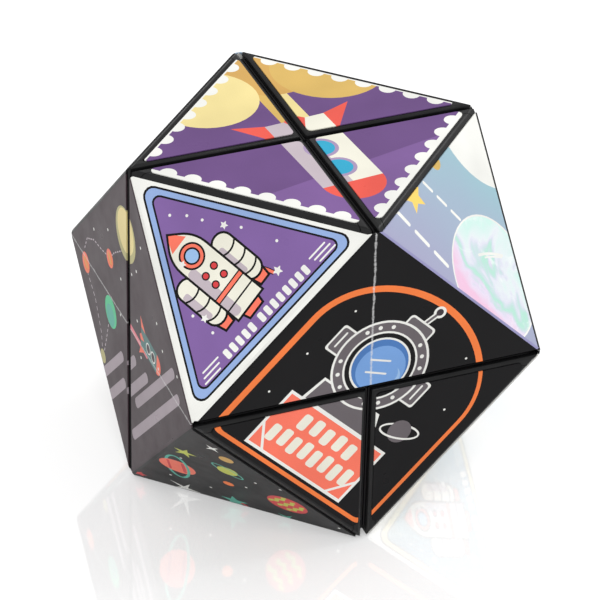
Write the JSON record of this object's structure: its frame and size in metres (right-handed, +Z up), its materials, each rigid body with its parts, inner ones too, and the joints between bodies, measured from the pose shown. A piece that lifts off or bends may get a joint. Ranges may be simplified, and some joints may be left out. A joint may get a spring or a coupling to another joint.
{
  "type": "folding cube puzzle",
  "caption": "Magnetic folding puzzle: a ring of corner-cut cubes joined by printed film hinges, closed into a cuboctahedron; it turns inside out into a plain cube.",
  "frame": {"origin": "centre of the square side that the puzzle stands on", "axes": "+Z up; -Y out through the square side with the arch print, -X out through the left square side; square sides face -X, +X, -Y and +Y, cut corners face the diagonals between them"},
  "size_m": [0.06, 0.06, 0.06],
  "materials": {
    "black_shell": "satin black moulded ABS",
    "purple_print": "printed film with a clear satin laminate",
    "night_print": "printed film with a clear satin laminate",
    "sky_print": "printed film with a clear satin laminate",
    "nickel": "bright nickel plate on a neodymium disc"
  },
  "bodies": {
    "top_front_left": {"top_front_left_inner_shell": "black_shell", "top_front_left_outer_shell": "black_shell", "top_front_left_hinge_film": "purple_print", "top_front_left_face_sticker": "purple_print", "top_front_left_inner_label": "sky_print", "top_front_left_seam_magnet": "nickel", "top_front_left_face_magnet": "nickel"},
    "top_front_right": {"top_front_right_inner_shell": "black_shell", "top_front_right_outer_shell": "black_shell", "top_front_right_hinge_film": "sky_print", "top_front_right_face_sticker": "purple_print", "top_front_right_inner_label": "purple_print", "top_front_right_seam_magnet": "nickel", "top_front_right_face_magnet": "nickel"},
    "top_back_left": {"top_back_left_inner_shell": "black_shell", "top_back_left_outer_shell": "black_shell", "top_back_left_hinge_film": "sky_print", "top_back_left_face_sticker": "purple_print", "top_back_left_inner_label": "sky_print", "top_back_left_seam_magnet": "nickel", "top_back_left_face_magnet": "nickel"},
    "top_back_right": {"top_back_right_inner_shell": "black_shell", "top_back_right_outer_shell": "black_shell", "top_back_right_hinge_film": "night_print", "top_back_right_face_sticker": "purple_print", "top_back_right_inner_label": "purple_print", "top_back_right_seam_magnet": "nickel", "top_back_right_face_magnet": "nickel"},
    "bottom_front_left": {"bottom_front_left_inner_shell": "black_shell", "bottom_front_left_outer_shell": "black_shell", "bottom_front_left_hinge_film": "night_print", "bottom_front_left_face_sticker": "night_print", "bottom_front_left_inner_label": "sky_print", "bottom_front_left_seam_magnet": "nickel", "bottom_front_left_face_magnet": "nickel"},
    "bottom_front_right": {"bottom_front_right_inner_shell": "black_shell", "bottom_front_right_outer_shell": "black_shell", "bottom_front_right_hinge_film": "night_print", "bottom_front_right_face_sticker": "night_print", "bottom_front_right_inner_label": "purple_print", "bottom_front_right_seam_magnet": "nickel", "bottom_front_right_face_magnet": "nickel"},
    "bottom_back_left": {"bottom_back_left_inner_shell": "black_shell", "bottom_back_left_outer_shell": "black_shell", "bottom_back_left_hinge_film": "night_print", "bottom_back_left_face_sticker": "night_print", "bottom_back_left_inner_label": "sky_print", "bottom_back_left_seam_magnet": "nickel", "bottom_back_left_face_magnet": "nickel"},
    "bottom_back_right": {"bottom_back_right_inner_shell": "black_shell", "bottom_back_right_outer_shell": "black_shell", "bottom_back_right_hinge_film": "night_print", "bottom_back_right_face_sticker": "night_print", "bottom_back_right_inner_label": "purple_print", "bottom_back_right_seam_magnet": "nickel", "bottom_back_right_face_magnet": "nickel"}
  },
  "joints": [
    {"name": "right_back_hinge", "type": "hinge", "parent": "top_back_right", "child": "bottom_back_right", "pos_m": [0.0301, 0.01505, 0.03], "axis": [0, -1, 0], "range_deg": [0, 180]},
    {"name": "bottom_right_hinge", "type": "hinge", "parent": "bottom_back_right", "child": "bottom_front_right", "pos_m": [0.01505, 0, -0.0001], "axis": [1, 0, 0], "range_deg": [0, 180]},
    {"name": "right_front_hinge", "type": "hinge", "parent": "bottom_front_right", "child": "top_front_right", "pos_m": [0.0301, -0.01505, 0.03], "axis": [0, 1, 0], "range_deg": [0, 180]},
    {"name": "front_hinge", "type": "hinge", "parent": "top_front_right", "child": "top_front_left", "pos_m": [0, -0.0301, 0.04505], "axis": [0, 0, 1], "range_deg": [0, 180]},
    {"name": "left_front_hinge", "type": "hinge", "parent": "top_front_left", "child": "bottom_front_left", "pos_m": [-0.0301, -0.01505, 0.03], "axis": [0, 1, 0], "range_deg": [0, 180]},
    {"name": "back_hinge", "type": "hinge", "parent": "top_back_right", "child": "top_back_left", "pos_m": [0, 0.0301, 0.04505], "axis": [0, 0, -1], "range_deg": [0, 180]},
    {"name": "left_back_hinge", "type": "hinge", "parent": "top_back_left", "child": "bottom_back_left", "pos_m": [-0.0301, 0.01505, 0.03], "axis": [0, 1, 0], "range_deg": [0, 180]}
  ],
  "couplings": [
    {"joint": "front_hinge", "follows": "back_hinge", "ratio": 1},
    {"joint": "right_front_hinge", "follows": "right_back_hinge", "ratio": 1},
    {"joint": "left_front_hinge", "follows": "left_back_hinge", "ratio": 1}
  ]
}
